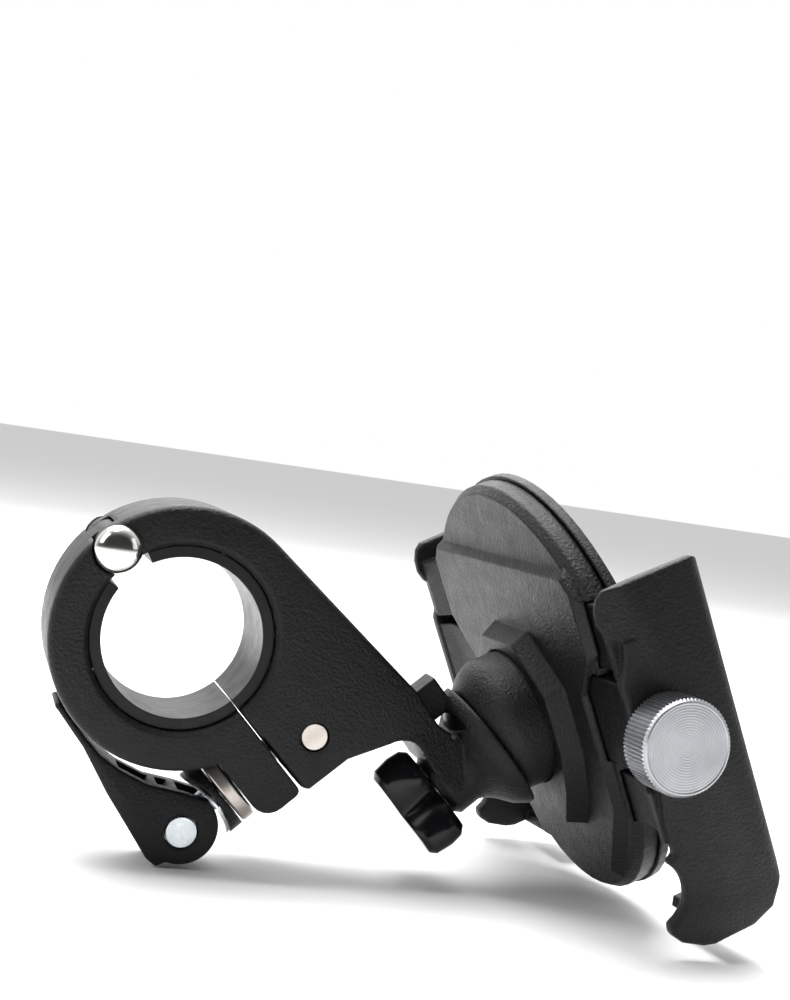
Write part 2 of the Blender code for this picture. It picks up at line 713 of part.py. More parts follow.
def arm_heights():
    """Low and high edge of the upper, middle and lower arms."""
    screw = SCREW_LINE[1]
    return ((PINION_Z - PITCH_R - 2.8, PINION_Z + PITCH_R + 2.8), (screw - 6.6, screw + 9.8), (-16.6, -7.4))


def back_cover(cradle):
    """Shell behind the jaws' arms, with the raised band and the boss round the dome."""
    outline = housing_outline()
    body = loft([level(housing_outline(1.2), HEAD_FACE), level(outline, HEAD_FACE + 1.6),
                 level(outline, COVER_EDGE)], cradle)
    band = [(31.5, 28.0), (29.0, 30.5), (-29.0, 30.5), (-31.5, 28.0), (-31.5, 16.0), (-24.5, 8.0),
            (-24.5, -16.0), (-15.0, -31.5), (15.0, -31.5), (24.5, -16.0), (24.5, 8.0), (31.5, 16.0)]
    inset = [(y * 0.93, z - 1.4 if z > 0 else z * 0.93) for y, z in band]
    field = loft([level(inset, BAND_FACE), level(band, HEAD_FACE + 0.4)], cradle)
    limits = prism(housing_outline(0.6), "x", BAND_FACE - 1, COVER_EDGE, cradle)
    join(body, keep(field, limits))
    boss = loft([level(boss_outline(0.0), BOSS_FACE), level(boss_outline(2.6), HEAD_FACE + 0.4)], cradle)
    join(body, boss)
    wall = 2.0
    inside = housing_outline(wall)
    cut(body, prism(inside, "x", COVER_FLOOR, COVER_EDGE + 5, cradle))
    for place in cover_posts():
        join(body, rod(2.3, (COVER_FLOOR - 0.2, *place), (COVER_EDGE, *place), cradle, segments=20))
        cut(body, rod(0.9 + GAP, (COVER_FLOOR + 0.1, *place), (COVER_EDGE + 1, *place), cradle, segments=16))
    for side in (1, -1):
        cut(body, *slide_slots(side, GAP, cradle))
    start = flange_back() - GAP
    seat = flange_front()
    steps = [(-20, 0), (-20, SKIRT_R + GAP), (start, SKIRT_R + GAP), (start, FLANGE_R + GAP),
             (seat, FLANGE_R + GAP), (seat, RETAINER_R + GAP), (seat + 1.6, RETAINER_R + GAP),
             (seat + 1.6, FLANGE_R + GAP), (COVER_FLOOR + 1, FLANGE_R + GAP), (COVER_FLOOR + 1, 0)]
    return cut(body, turned(steps, (0, 0, 0), (1, 0, 0), cradle, segments=48))


def cover_posts():
    return ((22.5, 27.5), (-22.5, 27.5), (17.0, -22.0), (-17.0, -22.0))


def front_plate(cradle):
    """Plate that closes the housing and backs the phone."""
    last = PLATE_BACK + PLATE_THICKNESS
    wide = [(y * 1.03, z * 1.02) for y, z in housing_outline(0.3)]
    body = loft([level(wide, PLATE_BACK), level(wide, last - 0.6), level(housing_outline(0.6), last)], cradle)
    for place in cover_posts():
        cut(body, rod(0.9 + GAP, (PLATE_BACK - 1, *place), (last + 1, *place), cradle, segments=16))
        cut(body, rod(2.0 + GAP, (last - 1.3, *place), (last + 1, *place), cradle, segments=16))
    low, high = arm_heights()[1]
    relief = arm_depths()[1][1] + GAP
    cut(body, box((PLATE_BACK - 1, -60, low - 2 * GAP), (relief, 60, high + 2 * GAP), cradle))
    return cut(body, rod(1.0 + GAP, (PLATE_BACK - 1, 0, PINION_Z), (PLATE_BACK + 1.1, 0, PINION_Z), cradle))


def front_pad(cradle):
    """Soft sheet on the front plate, grooved across."""
    last = PAD_BACK + PAD_THICKNESS
    body = prism(housing_outline(3.0), "x", PAD_BACK, last, cradle)
    grooves = [box((last - 0.4, -50, z - 0.5), (last + 1, 50, z + 0.5), cradle) for z in range(-24, 37, 6)]
    return cut(body, *grooves)


def housing_screws(cradle):
    """Four screws from the front plate into the back cover's posts."""
    last = PLATE_BACK + PLATE_THICKNESS
    bodies = []
    for place in cover_posts():
        head = last - 1.3 + GAP
        profile = [(COVER_FLOOR + 0.5, 0), (COVER_FLOOR + 0.5, 0.9), (head, 0.9), (head, 2.0),
                   (last - 0.1, 2.0), (last - 0.1, 0)]
        bodies.append(turned(profile, (0, *place), (1, 0, 0), cradle, segments=16))
    return bodies


# --- jaws --------------------------------------------------------------------------------
def jaw_side_outline():
    """Side of a jaw seen along its slide: x out through the phone, z up."""
    back = PHONE_BACK
    front = JAW_FRONT
    outline = [(front, JAW_TOP - 1.5), (front - 1.5, JAW_TOP)]
    outline += [(back - 3.0, JAW_TOP), (2.0, JAW_TOP - 0.2), (0.6, JAW_TOP - 1.2), (-0.3, JAW_TOP - 3.2)]
    outline += [(-0.5, JAW_TOP - 5.6), (0.4, JAW_TOP - 8.2), (2.8, JAW_TOP - 9.4), (1.8, 15.6), (0.3, 12.6)]
    screw = SCREW_LINE[1]
    outline += [(0.2, screw + 9.8), (0.2, screw - 6.6), (2.0, -7.4), (1.2, -13.0), (1.4, -18.5)]
    outline += arc((-4.6, -24.0), 6.2, 48, -38, 8)
    outline += [(-1.4, -29.0), (-3.0, -29.6), (-3.2, -31.4), (-1.6, -33.6), (2.0, JAW_BOTTOM + 0.6)]
    outline += [(4.0, JAW_BOTTOM), (front - 8.5, JAW_BOTTOM), (front - 4.0, JAW_BOTTOM + 1.6)]
    outline += [(front - 1.0, JAW_BOTTOM + 6.0), (front, JAW_BOTTOM + 10.5)]
    return outline


def mirrored(side, low, high):
    return sorted((side * low, side * high))


def jaw(side, cradle):
    """Side wall, front lip, foot and three arms; side is -1 for the knob's jaw."""
    low, high = mirrored(side, JAW_INNER, JAW_OUTER)
    body = soften(prism(jaw_side_outline(), "y", low, high, cradle), JAW_ROUND, 2)
    join(body, jaw_lip(side, cradle), jaw_foot(side, cradle))
    for arm in jaw_arms(side, cradle):
        join(body, arm)
    cut(body, *jaw_bevels(side, cradle))
    screw_x, screw_z = SCREW_LINE
    hole = ((screw_x, side * 2.0, screw_z), (screw_x, side * (JAW_OUTER - (0 if side < 0 else 1.6)), screw_z))
    if side < 0:
        hole = (hole[0], (screw_x, side * (JAW_OUTER + 5), screw_z))
    cut(body, rod(SCREW_R + GAP, hole[0], hole[1], cradle, segments=24))
    if side > 0:
        nut = nut_box(GAP)
        cut(body, box(nut[0], nut[1], cradle))
    cut(body, *rack_cuts(side, cradle))
    return body


def jaw_lip(side, cradle):
    """Lip in front of the phone's edge, with the front corner rounded off."""
    low, high = mirrored(side, JAW_INNER - JAW_PAD - JAW_LIP_REACH, JAW_INNER + 1)
    first = JAW_FRONT - JAW_LIP
    return box((first, low, JAW_BOTTOM + 10.0), (JAW_FRONT, high, JAW_TOP - 1.5), cradle)


def jaw_foot(side, cradle):
    """Ledge under the phone."""
    low, high = mirrored(side, JAW_INNER - JAW_FOOT_REACH, JAW_INNER + 1)
    top = PHONE_BOTTOM - JAW_PAD - 2 * GAP
    outline = [(6.6, JAW_BOTTOM), (7.4, top), (JAW_FRONT - 6.5, top), (JAW_FRONT - 6.5, JAW_BOTTOM)]
    return prism(outline, "y", low, high, cradle)


def jaw_arms(side, cradle):
    """Upper, middle and lower arms, each with a wedge into the wall."""
    upper, middle, lower = arm_heights()
    inner_ends = (-16.0, 20.0 if side < 0 else 3.6, 10.0)
    arms = []
    for (low_z, high_z), inner, (back, front) in zip((upper, middle, lower), inner_ends, arm_depths()):
        low, high = mirrored(side, inner, JAW_INNER + 1)
        arms.append(box((back, low, low_z), (front, high, high_z), cradle))
        first, last = side * (JAW_INNER - 4.2), side * (JAW_INNER + 1)
        wedge = [(arm_front(), first), (arm_back(), first), (0.8, side * (JAW_INNER - 0.6)), (0.8, last),
                 (arm_front() + 2.6, last), (arm_front() + 2.6, side * (JAW_INNER - 0.6))]
        arms.append(prism(wedge, "z", low_z, high_z, cradle))
    return arms


def jaw_bevels(side, cradle):
    """Round the wall's front edge, and slope the rib behind its top corner."""
    outer = side * JAW_OUTER
    radius = 3.2
    middle = (JAW_FRONT - radius, outer - side * radius)
    rounded = [(middle[0] + radius * cos(t), middle[1] + side * radius * sin(t))
               for t in (radians(90 * i / 6) for i in range(7))]
    rounded += [(middle[0], outer + side), (JAW_FRONT + 1, outer + side), (JAW_FRONT + 1, middle[1])]
    slope = [(5.6, outer), (-2.0, outer - side * 1.9), (-2.0, outer + side), (5.6, outer + side)]
    return [prism(rounded, "z", JAW_BOTTOM - 1, JAW_TOP + 1, cradle),
            prism(slope, "z", JAW_TOP - 9.6, JAW_TOP + 1, cradle)]


def rack_cuts(side, cradle):
    """Leave the upper arm as one toothed bar past the housing's middle."""
    low, high = arm_heights()[0]
    inner, outer = mirrored(side, -18.0, 27.0)
    tooth = 0.45 * GEAR_MODULE + 0.35
    x_low, x_high = arm_back() - 1, arm_front() + 1
    root = PINION_Z - side * (PITCH_R + tooth)
    if side < 0:
        spare = ((x_low, inner, low - 1), (x_high, outer, root))
    else:
        spare = ((x_low, inner, root), (x_high, outer, high + 1))
    return [box(spare[0], spare[1], cradle)]


def rack_teeth(side, cradle):
    """Teeth of one rack, as separate bars to be joined to the jaw."""
    pitch = pi * GEAR_MODULE
    tooth = 0.45 * GEAR_MODULE
    root = PINION_Z - side * (PITCH_R + tooth + 0.8)
    tip = PINION_Z - side * (PITCH_R - tooth)
    teeth = []
    count = 13
    for i in range(count):
        middle = side * (i - 7.5) * pitch
        outline = [(middle - 0.42, root), (middle + 0.42, root), (middle + 0.2, tip), (middle - 0.2, tip)]
        teeth.append(prism(outline, "x", arm_back(), arm_front(), cradle))
    return teeth


def nut_box(grow):
    """Square nut in the far jaw's middle arm."""
    x, z = SCREW_LINE
    back = arm_depths()[1][0]
    return ((back + 0.2 - grow, 4.6 - grow, z - 3.5 - grow), (x + 6, 8.0 + grow, z + 3.5 + grow))


def screw_nut(cradle):
    x, z = SCREW_LINE
    back, front = arm_depths()[1]
    body = box((back + 0.2, 4.6, z - 3.5), (front, 8.0, z + 3.5), cradle)
    return cut(body, rod(SCREW_R + GAP, (x, 0, z), (x, 20, z), cradle, segments=24))


def jaw_pad(side, cradle):
    """Soft strip on the jaw's inner wall."""
    low, high = mirrored(side, JAW_FACE, JAW_FACE + JAW_PAD)
    first = PHONE_BACK + 0.4
    last = PHONE_BACK + PHONE_THICKNESS - 0.4
    return box((first, low, PHONE_BOTTOM + 2.0), (last, high, JAW_TOP - 2.5), cradle)


def foot_pad(side, cradle):
    """Soft strip on the foot's ledge."""
    low, high = mirrored(side, JAW_INNER - JAW_FOOT_REACH + 1.0, JAW_INNER - 1.6)
    top = PHONE_BOTTOM - GAP
    return box((PHONE_BACK + 0.4, low, top - JAW_PAD), (JAW_FRONT - 7.0, high, top), cradle)


def clamp_screw(cradle):
    """Long screw from the knob into the far jaw's nut."""
    x, z = SCREW_LINE
    outer = JAW_OUTER + GAP
    return rod(SCREW_R, (x, -outer - KNOB_LENGTH + 2, z), (x, 26.0, z), cradle, segments=24)


def knob(cradle):
    """Knurled thumb knob; the knurl's grooves are cut by a repeated outline."""
    x, z = SCREW_LINE
    start = -(JAW_OUTER + GAP)
    teeth = 60
    outline = []
    for i in range(teeth * 2):
        radius = KNOB_R if i % 2 else KNOB_R - 0.25
        t = pi * i / teeth
        outline.append((x + radius * cos(t), z + radius * sin(t)))
    body = prism(outline, "y", start - KNOB_LENGTH + 0.5, start - 0.5, cradle)
    rim = KNOB_R - 0.45
    profile = [(0, 0), (0, rim - 0.3), (0.4, rim), (KNOB_LENGTH - 0.4, rim), (KNOB_LENGTH, rim - 0.3),
               (KNOB_LENGTH, 0)]
    join(body, turned(profile, (x, start, z), (0, -1, 0), cradle, segments=60))
    end = start - KNOB_LENGTH + 2 - GAP
    return cut(body, rod(SCREW_R + GAP, (x, start + 1, z), (x, end, z), cradle, segments=24))


def screw_clip(cradle):
    """Spring clip that keeps the screw in the near jaw's middle arm."""
    x, z = SCREW_LINE
    end = -20.0 + GAP
    profile = [(0, SCREW_R + GAP), (0, SCREW_R + 1.5), (0.8, SCREW_R + 1.5), (0.8, SCREW_R + GAP)]
    body = turned(profile, (x, end, z), (0, 1, 0), cradle, segments=24, closed=True)
    back, front = arm_depths()[1]
    return keep(body, box((back, -40, z - 9), (front, 0, z + 9), cradle))


def pinion(cradle):
    """Pinion between the two racks."""
    tooth = 0.45 * GEAR_MODULE
    outline = []
    for i in range(PINION_TEETH):
        middle = 360 * i / PINION_TEETH
        for shift, radius in ((-9, PITCH_R - 0.6), (-3.5, PITCH_R + tooth), (3.5, PITCH_R + tooth),
                              (9, PITCH_R - 0.6)):
            t = radians(middle + shift)
            outline.append((radius * sin(t), PINION_Z + radius * cos(t)))
    body = prism(outline, "x", arm_back() + 0.2, arm_front() - 0.2, cradle)
    return cut(body, rod(1.0 + GAP, (0, 0, PINION_Z), (12, 0, PINION_Z), cradle, segments=20))


def pinion_pin(cradle):
    return rod(1.0, (COVER_FLOOR + GAP, 0, PINION_Z), (PLATE_BACK + 0.8, 0, PINION_Z), cradle, segments=20)


# --- assembly ----------------------------------------------------------------------------
def build():
    clear_scene()
    nylon = material("black_nylon", (0.022, 0.024, 0.027), 0.55)
    smooth = material("smooth_nylon", (0.03, 0.034, 0.034), 0.35)
    gloss = material("gloss_nylon", (0.008, 0.009, 0.011), 0.15)
    rubber = material("rubber", (0.015, 0.015, 0.016), 0.75)
    chrome = material("polished_steel", (0.75, 0.74, 0.72), 0.12, 1.0)
    zinc = material("zinc_steel", (0.62, 0.66, 0.68), 0.35, 1.0)
    nickel = material("brushed_nickel", (0.55, 0.51, 0.47), 0.3, 1.0)
    aluminium = material("aluminium", (0.62, 0.63, 0.65), 0.32, 1.0)

    world = frame("clamp_frame", Matrix.Identity(4))
    split = frame("split_frame", split_frame())
    lean = Matrix.Rotation(radians(CRADLE_PAN), 4, "Z") @ Matrix.Rotation(radians(-CRADLE_LEAN), 4, "Y")
    cradle = frame("cradle_frame", Matrix.Translation(Vector(BALL_CENTRE)) @ lean)

    hinge = (hinge_point()[0], 0, hinge_point()[1])
    cross = (ROD_REACH, 0, CROSS_PIN_DEPTH)
    cam = (ROD_REACH, 0, -CAM_PIN_DEPTH)
    screw = (SCREW_LINE[0], -JAW_OUTER, SCREW_LINE[1])

    finish(clamp_arm(world, split), "clamp_arm", nylon)
    finish(swing_jaw(world, split), "swing_jaw", nylon, hinge)
    finish(liner(1, world), "liner_fixed", smooth)
    finish(liner(-1, world), "liner_swing", smooth, hinge)
    finish(hinge_pin(world), "hinge_pin", chrome)
    finish(cross_pin(split), "cross_pin", nickel)
    finish(draw_rod(split), "draw_rod", zinc, cross)
    finish(thrust_ring(split), "thrust_ring", nickel, cross)
    finish(saddle_washer(split), "saddle_washer", nylon, cross)
    finish(saddle_plate(split), "saddle_plate", zinc, cross)
    finish(cam_pin(split), "cam_pin", zinc, cross)
    finish(cam_lever(split), "cam_lever", nylon, cam)
    finish(friction_ring(world), "friction_ring", smooth, BALL_CENTRE)
    finish(clamp_nut(world), "clamp_nut", zinc, BALL_CENTRE)
    finish(wing_stud(world), "wing_stud", zinc, BALL_CENTRE)
    finish(wing_knob(world), "wing_knob", gloss, BALL_CENTRE)
    finish(ball_dome(cradle), "ball_dome", nylon)
    finish(retaining_ring(cradle), "retaining_ring", smooth)
    finish(back_cover(cradle), "back_cover", nylon)
    finish(front_plate(cradle), "front_plate", nylon)
    finish(front_pad(cradle), "front_pad", rubber)
    for number, screw_body in enumerate(housing_screws(cradle), 1):
        finish(screw_body, f"housing_screw_{number}", zinc)
    for side, name in ((-1, "near"), (1, "far")):
        body = jaw(side, cradle)
        join(body, *rack_teeth(side, cradle))
        finish(body, name + "_jaw", nylon)
        finish(jaw_pad(side, cradle), name + "_jaw_pad", rubber)
        finish(foot_pad(side, cradle), name + "_foot_pad", rubber)
    finish(screw_nut(cradle), "screw_nut", zinc)
    finish(clamp_screw(cradle), "clamp_screw", zinc, screw)
    finish(knob(cradle), "knob", aluminium, screw)
    finish(screw_clip(cradle), "screw_clip", zinc, screw)
    finish(pinion(cradle), "pinion", zinc, (0, 0, PINION_Z))
    finish(pinion_pin(cradle), "pinion_pin", zinc, (0, 0, PINION_Z))


build()
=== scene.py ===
"""Looks of the handlebar phone mount: materials, edge rounding, finer pieces, camera and light."""
import json
from math import cos, pi, radians, sin

import bmesh
import bpy
from mathutils import Matrix, Vector


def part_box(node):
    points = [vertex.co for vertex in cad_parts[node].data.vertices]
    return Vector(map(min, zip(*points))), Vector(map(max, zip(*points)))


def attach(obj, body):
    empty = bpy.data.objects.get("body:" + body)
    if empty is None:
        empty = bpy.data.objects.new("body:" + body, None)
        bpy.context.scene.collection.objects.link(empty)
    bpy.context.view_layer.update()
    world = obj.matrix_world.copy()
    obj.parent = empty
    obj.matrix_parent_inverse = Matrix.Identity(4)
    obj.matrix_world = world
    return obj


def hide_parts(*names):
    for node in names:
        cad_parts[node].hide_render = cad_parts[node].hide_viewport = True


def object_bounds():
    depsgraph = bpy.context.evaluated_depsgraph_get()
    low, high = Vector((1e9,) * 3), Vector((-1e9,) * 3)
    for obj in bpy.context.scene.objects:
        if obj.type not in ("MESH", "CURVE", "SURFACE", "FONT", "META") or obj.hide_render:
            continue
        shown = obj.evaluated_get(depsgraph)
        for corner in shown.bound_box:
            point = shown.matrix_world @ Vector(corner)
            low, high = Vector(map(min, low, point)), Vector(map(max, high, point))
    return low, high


MM = 0.001
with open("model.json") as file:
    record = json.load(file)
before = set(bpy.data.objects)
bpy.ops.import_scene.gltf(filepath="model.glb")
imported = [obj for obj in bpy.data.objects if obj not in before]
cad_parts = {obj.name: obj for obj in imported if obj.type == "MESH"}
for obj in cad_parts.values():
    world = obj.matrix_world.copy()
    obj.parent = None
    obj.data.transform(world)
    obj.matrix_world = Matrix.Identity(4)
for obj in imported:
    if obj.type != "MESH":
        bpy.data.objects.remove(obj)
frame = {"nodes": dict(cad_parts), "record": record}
RECORD = frame["record"]
CAD_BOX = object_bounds()
JOINTS = {joint["name"]: joint for joint in RECORD["behaviour"]["joints"]}
SLOTS = {part["node"]: part["material_slot"] for part in RECORD["subparts"]}


# --- node helpers ------------------------------------------------------------------------
class Maker:
    """Builds one material's nodes."""

    def __init__(self, name):
        self.material = bpy.data.materials.new(name)
        self.material.use_nodes = True
        self.tree = self.material.node_tree
        self.shader = self.tree.nodes["Principled BSDF"]
        self.place = self.tree.nodes.new("ShaderNodeTexCoord").outputs["Object"]

    def set(self, **values):
        for name, value in values.items():
            self.shader.inputs[name.replace("_", " ")].default_value = value

    def node(self, kind, **settings):
        made = self.tree.nodes.new(kind)
        for name, value in settings.items():
            setattr(made, name, value)
        return made

    def link(self, output, target):
        self.tree.links.new(output, target)

    def noise(self, scale, detail=4.0, rough=0.6):
        made = self.node("ShaderNodeTexNoise")
        made.inputs["Scale"].default_value = scale
        made.inputs["Detail"].default_value = detail
        made.inputs["Roughness"].default_value = rough
        self.link(self.place, made.inputs["Vector"])
        return made.outputs["Fac"]

    def cells(self, scale):
        made = self.node("ShaderNodeTexVoronoi")
        made.inputs["Scale"].default_value = scale
        self.link(self.place, made.inputs["Vector"])
        return made.outputs["Distance"]

    def span(self, value, low, high, first=0.3, last=0.7):
        """Remap a 0 to 1 value to a range."""
        made = self.node("ShaderNodeMapRange")
        made.inputs["From Min"].default_value = first
        made.inputs["From Max"].default_value = last
        made.inputs["To Min"].default_value = low
        made.inputs["To Max"].default_value = high
        self.link(value, made.inputs["Value"])
        return made.outputs["Result"]

    def ramp(self, value, stops):
        made = self.node("ShaderNodeValToRGB")
        band = made.color_ramp
        while len(band.elements) < len(stops):
            band.elements.new(0.5)
        for element, (spot, color) in zip(band.elements, stops):
            element.position = spot
            element.color = (*color, 1.0)
        self.link(value, made.inputs["Fac"])
        return made.outputs["Color"]

    def add(self, one, two, weight):
        made = self.node("ShaderNodeMath", operation="MULTIPLY_ADD")
        self.link(two, made.inputs[0])
        made.inputs[1].default_value = weight
        self.link(one, made.inputs[2])
        return made.outputs[0]

    def bump(self, height, depth, edge):
        """Surface relief over edges that read as rounded by the given radius."""
        rounded = self.node("ShaderNodeBevel", samples=6)
        rounded.inputs["Radius"].default_value = edge
        made = self.node("ShaderNodeBump")
        made.inputs["Distance"].default_value = depth
        self.link(height, made.inputs["Height"])
        self.link(rounded.outputs["Normal"], made.inputs["Normal"])
        self.link(made.outputs["Normal"], self.shader.inputs["Normal"])

    def color(self, output):
        self.link(output, self.shader.inputs["Base Color"])

    def rough(self, output):
        self.link(output, self.shader.inputs["Roughness"])

    def about(self, centre, along):
        """Coordinates with Z on an axis, for turned marks."""
        turn = Vector(along).to_track_quat("Z", "Y").to_matrix().transposed()
        made = self.node("ShaderNodeMapping")
        made.inputs["Rotation"].default_value = turn.to_euler("XYZ")
        made.inputs["Location"].default_value = -(turn @ Vector(centre))
        self.link(self.place, made.inputs["Vector"])
        return made.outputs["Vector"]


def shade(color, factor):
    return tuple(channel * factor for channel in color)


def moulded(name, color, rough, grain, depth, edge, patch=0.35):
    """Moulded plastic: fine spark-eroded grain, a little mottling and handling marks."""
    make = Maker(name)
    make.set(Specular_IOR_Level=0.3)
    cloud = make.noise(90.0, 3.0)
    tint = make.ramp(cloud, [(0.3, shade(color, 1 - patch)), (0.7, shade(color, 1 + patch))])
    make.color(tint)
    rub = make.noise(260.0, 5.0, 0.7)
    make.rough(make.span(rub, rough - 0.07, rough + 0.09))
    fine = make.add(make.noise(grain, 3.0, 0.7), make.cells(grain * 0.6), 0.5)
    make.bump(fine, depth, edge)
    return make.material


def turned_metal(name, color, rough, centre, along, rings=700.0, depth=0.000012):
    """Lathe-turned metal: fine concentric marks round the piece's axis."""
    make = Maker(name)
    make.set(Metallic=1.0)
    local = make.about(centre, along)
    wave = make.node("ShaderNodeTexWave", wave_type="RINGS", rings_direction="Z")
    wave.inputs["Scale"].default_value = rings
    wave.inputs["Distortion"].default_value = 0.6
    wave.inputs["Detail"].default_value = 3.0
    wave.inputs["Detail Scale"].default_value = 2.0
    make.link(local, wave.inputs["Vector"])
    cloud = make.noise(180.0, 4.0)
    make.color(make.ramp(cloud, [(0.3, shade(color, 0.88)), (0.7, shade(color, 1.08))]))
    make.rough(make.span(wave.outputs["Fac"], rough - 0.07, rough + 0.08, 0.0, 1.0))
    make.bump(wave.outputs["Fac"], depth, 0.00015)
    return make.material


def plated(name, color, rough, depth=0.000008):
    """Plated steel: bright with a faint cloud and fine scratches."""
    make = Maker(name)
    make.set(Metallic=1.0)
    cloud = make.noise(240.0, 5.0, 0.65)
    make.color(make.ramp(cloud, [(0.3, shade(color, 0.85)), (0.7, shade(color, 1.08))]))
    make.rough(make.span(make.noise(900.0, 4.0, 0.7), rough - 0.08, rough + 0.1))
    make.bump(make.noise(1500.0, 3.0, 0.6), depth, 0.0002)
    return make.material


def rubber(name, color):
    """Soft matt rubber with a fine grain."""
    make = Maker(name)
    make.set(Specular_IOR_Level=0.35)
    make.color(make.ramp(make.noise(120.0), [(0.3, shade(color, 0.7)), (0.7, shade(color, 1.5))]))
    make.rough(make.span(make.noise(500.0, 5.0), 0.68, 0.86))
    make.bump(make.add(make.noise(3200.0, 2.0), make.cells(2000.0), 0.6), 0.00006, 0.0003)
    return make.material


# --- materials ---------------------------------------------------------------------------
BLACK = (0.003, 0.0033, 0.0037)
hinge = JOINTS["clamp_open"]
knob_joint = JOINTS["knob_turn"]
rod_low, rod_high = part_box("thrust_ring")
rod_centre = [(low + high) / 2 for low, high in zip(rod_low, rod_high)]
rod_axis = Vector(JOINTS["cam_throw"]["pos_m"]) - Vector(JOINTS["rod_swing"]["pos_m"])
LOOKS = {
    "black_nylon": moulded("nylon", BLACK, 0.38, 2600.0, 0.00016, 0.0008, 0.2),
    "smooth_nylon": moulded("liner_nylon", (0.003, 0.0035, 0.0035), 0.36, 1800.0, 0.00002, 0.0003, 0.2),
    "gloss_nylon": moulded("gloss_nylon", (0.005, 0.0055, 0.0065), 0.16, 700.0, 0.000006, 0.0006, 0.2),
    "rubber": rubber("soft_rubber", (0.009, 0.009, 0.0095)),
    "polished_steel": turned_metal("polished_steel", (0.80, 0.78, 0.75), 0.12, hinge["pos_m"],
                                   hinge["axis"], 1200.0, 0.000002),
    "zinc_steel": plated("zinc_steel", (0.62, 0.66, 0.68), 0.3),
    "brushed_nickel": turned_metal("brushed_nickel", (0.56, 0.51, 0.47), 0.28, rod_centre, rod_axis),
    "aluminium": turned_metal("turned_aluminium", (0.40, 0.41, 0.43), 0.34, knob_joint["pos_m"],
                              knob_joint["axis"]),
}


# --- CAD nodes ---------------------------------------------------------------------------
EDGE_SEGMENTS = 3
SHARP_ANGLE = 32
WELD_DISTANCE = 0.004 * MM
LINER_FILL = 0.2 * MM
# Bevel width of each slot in millimetres
EDGE = {"black_nylon": 0.35, "smooth_nylon": 0.2, "gloss_nylon": 0.5, "rubber": 0.15,
        "polished_steel": 0.1, "zinc_steel": 0.15, "brushed_nickel": 0.2, "aluminium": 0.15}


def dress(node, slot):
    """Give a CAD node its material and bevelled edges; the liner also grows to narrow the gap round it."""
    piece = frame["nodes"][node]
    piece.data.materials.clear()
    piece.data.materials.append(LOOKS[slot])
    if "custom_normal" in piece.data.attributes:
        piece.data.attributes.remove(piece.data.attributes["custom_normal"])
    piece.data.shade_smooth()
    weld = piece.modifiers.new("weld", "WELD")
    weld.merge_threshold = WELD_DISTANCE
    if slot == "smooth_nylon":
        fuller = piece.modifiers.new("fuller", "DISPLACE")
        fuller.mid_level = 0.0
        fuller.strength = LINER_FILL
    edge = piece.modifiers.new("edge", "BEVEL")
    edge.width = EDGE[slot] * MM
    edge.segments = EDGE_SEGMENTS
    edge.limit_method = "ANGLE"
    edge.angle_limit = radians(SHARP_ANGLE)
    edge.use_clamp_overlap = True
    edge.harden_normals = True


for node_name, slot_name in SLOTS.items():
    dress(node_name, slot_name)


# --- finer pieces ----------------------------------------------------------------------------
def ring_mesh(name, rims, centre, along):
    """Skin rims of (distance, radii) round an axis into one closed mesh."""
    along = Vector(along).normalized()
    side = along.orthogonal().normalized()
    other = along.cross(side)
    bm = bmesh.new()
    rows = []
    for distance, radii in rims:
        middle = Vector(centre) + along * distance
        count = len(radii)
        turns = [2 * pi * i / count for i in range(count)]
        rays = [side * cos(turn) + other * sin(turn) for turn in turns]
        spots = [middle + ray * radius for ray, radius in zip(rays, radii)]
        rows.append([bm.verts.new(spot) for spot in spots])
    for one, two in zip(rows, rows[1:]):
        for i in range(len(one)):
            j = (i + 1) % len(one)
            bm.faces.new((one[i], one[j], two[j], two[i]))
    bm.faces.new(list(reversed(rows[0])))
    bm.faces.new(rows[-1])
    bmesh.ops.recalc_face_normals(bm, faces=bm.faces)
    mesh = bpy.data.meshes.new(name)
    bm.to_mesh(mesh)
    bm.free()
    made = bpy.data.objects.new(name, mesh)
    bpy.context.scene.collection.objects.link(made)
    mesh.shade_smooth()
    mesh.set_sharp_from_angle(angle=radians(28))
    return made


KNURL_TEETH = 72
SAMPLES_PER_TOOTH = 6


def knurled_knob():
    """Thumb knob: straight knurl between two chamfered rims, and a dished, turned face."""
    axis = Vector(knob_joint["axis"]).normalized()
    low, high = KNOB_ENDS
    start = Vector(knob_joint["pos_m"])
    offset = start.dot(axis)
    near, far = low - offset, high - offset
    radius = KNOB_RADIUS
    teeth = KNURL_TEETH
    samples = teeth * SAMPLES_PER_TOOTH

    def plain(scale):
        return [radius * scale] * samples

    def knurl(depth):
        """Rounded ridges with narrow valleys."""
        waves = [0.5 + 0.5 * cos(teeth * 2 * pi * i / samples) for i in range(samples)]
        return [radius * (1 - depth * wave ** 2) for wave in waves]

    rims = [(near, plain(0.90)), (near + 0.0002, plain(0.93)), (near + 0.0005, plain(0.935)),
            (near + 0.0008, knurl(0.045)), (near + 0.0012, knurl(0.05)), (far - 0.0011, knurl(0.05)),
            (far - 0.0007, knurl(0.03)), (far - 0.0004, plain(0.962)), (far - 0.0001, plain(0.945)),
            (far, plain(0.93)), (far, plain(0.90)), (far - 0.00008, plain(0.885)),
            (far - 0.00008, plain(0.3)), (far - 0.00014, plain(0.04))]
    knob = ring_mesh("turned_knob", rims, start, axis)
    knob.data.materials.append(LOOKS["aluminium"])
    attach(knob, "screw_body")
    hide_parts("knob")


def along_span(node, axis):
    """Lowest and highest distance of a node's vertices along an axis."""
    axis = Vector(axis).normalized()
    spots = [vertex.co.dot(axis) for vertex in frame["nodes"][node].data.vertices]
    return min(spots), max(spots)


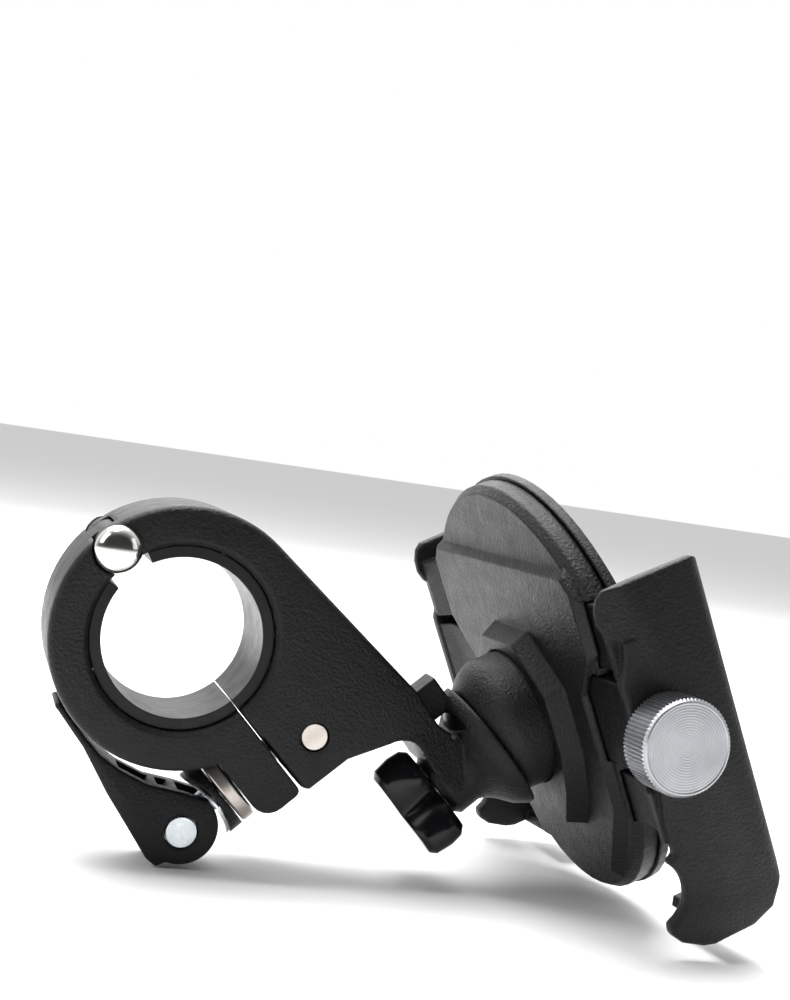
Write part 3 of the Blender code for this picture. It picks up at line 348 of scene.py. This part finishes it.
def radius_about(node, centre, axis):
    """Greatest distance of a node's vertices from a line."""
    axis = Vector(axis).normalized()
    reach = [(vertex.co - Vector(centre)) for vertex in frame["nodes"][node].data.vertices]
    return max((spot - axis * spot.dot(axis)).length for spot in reach)


KNOB_ENDS = along_span("knob", knob_joint["axis"])
KNOB_RADIUS = radius_about("knob", knob_joint["pos_m"], knob_joint["axis"])
knurled_knob()


# --- stage, camera and light ---------------------------------------------------------------
def stage():
    """Plain pale floor under the lowest point."""
    low = CAD_BOX[0][2] - 0.0003
    bm = bmesh.new()
    bm.faces.new([bm.verts.new((x, y, low)) for x, y in ((-6, -6), (6, -6), (6, 6), (-6, 6))])
    mesh = bpy.data.meshes.new("floor")
    bm.to_mesh(mesh)
    bm.free()
    floor = bpy.data.objects.new("floor", mesh)
    bpy.context.scene.collection.objects.link(floor)
    make = Maker("paper")
    make.set(Base_Color=(0.9, 0.9, 0.9, 1.0), Roughness=0.8)
    mesh.materials.append(make.material)


def camera():
    """The camera at the photograph's viewing angle."""
    data = bpy.data.cameras.new("camera")
    data.sensor_width = 36.0
    data.sensor_fit = "VERTICAL"
    data.sensor_height = 36.0
    data.lens = 61.3
    made = bpy.data.objects.new("camera", data)
    bpy.context.scene.collection.objects.link(made)
    right = Vector((0.9587, -0.244, 0.147)).normalized()
    back = Vector((-0.2499, -0.968, 0.023))
    back = (back - right * back.dot(right)).normalized()
    up = back.cross(right)
    turn = Matrix((right, up, back)).transposed()
    made.matrix_world = Matrix.Translation((-0.0411, -0.2993, 0.0353)) @ turn.to_4x4()
    bpy.context.scene.camera = made


def lamp(name, place, target, size, power, tone=(1.0, 1.0, 1.0)):
    data = bpy.data.lights.new(name, "AREA")
    data.shape = "RECTANGLE"
    data.size, data.size_y = size
    data.energy = power
    data.color = tone
    made = bpy.data.objects.new(name, data)
    bpy.context.scene.collection.objects.link(made)
    aim = (Vector(target) - Vector(place)).to_track_quat("-Z", "Y")
    made.matrix_world = Matrix.Translation(place) @ aim.to_matrix().to_4x4()


def light():
    """White surroundings behind and above, dark in front, with soft boxes over the object."""
    world = bpy.data.worlds.new("world")
    world.use_nodes = True
    tree = world.node_tree
    facing = tree.nodes.new("ShaderNodeVectorMath")
    facing.operation = "DOT_PRODUCT"
    facing.inputs[1].default_value = Vector((0.1, 0.85, 0.5)).normalized()
    tree.links.new(tree.nodes.new("ShaderNodeTexCoord").outputs["Generated"], facing.inputs[0])
    level = tree.nodes.new("ShaderNodeMapRange")
    level.interpolation_type = "SMOOTHSTEP"
    level.inputs["From Min"].default_value = -0.3
    level.inputs["From Max"].default_value = 0.7
    level.inputs["To Min"].default_value = 0.04
    level.inputs["To Max"].default_value = 1.0
    tree.links.new(facing.outputs["Value"], level.inputs["Value"])
    tree.links.new(level.outputs["Result"], tree.nodes["Background"].inputs["Strength"])
    tree.nodes["Background"].inputs["Color"].default_value = (1.0, 1.0, 1.0, 1.0)
    bpy.context.scene.world = world
    middle = (0.045, 0.0, 0.0)
    lamp("top", (-0.1, 0.15, 0.8), middle, (0.7, 0.6), 13.0)
    lamp("left", (-0.60, -0.20, 0.40), middle, (0.35, 0.5), 1.5)
    lamp("right", (0.65, -0.40, 0.30), middle, (0.3, 0.5), 0.5)
    lamp("back", (0.1, 0.7, 0.5), middle, (0.8, 0.4), 3.0)


stage()
camera()
light()
bpy.context.scene.view_settings.view_transform = "Standard"
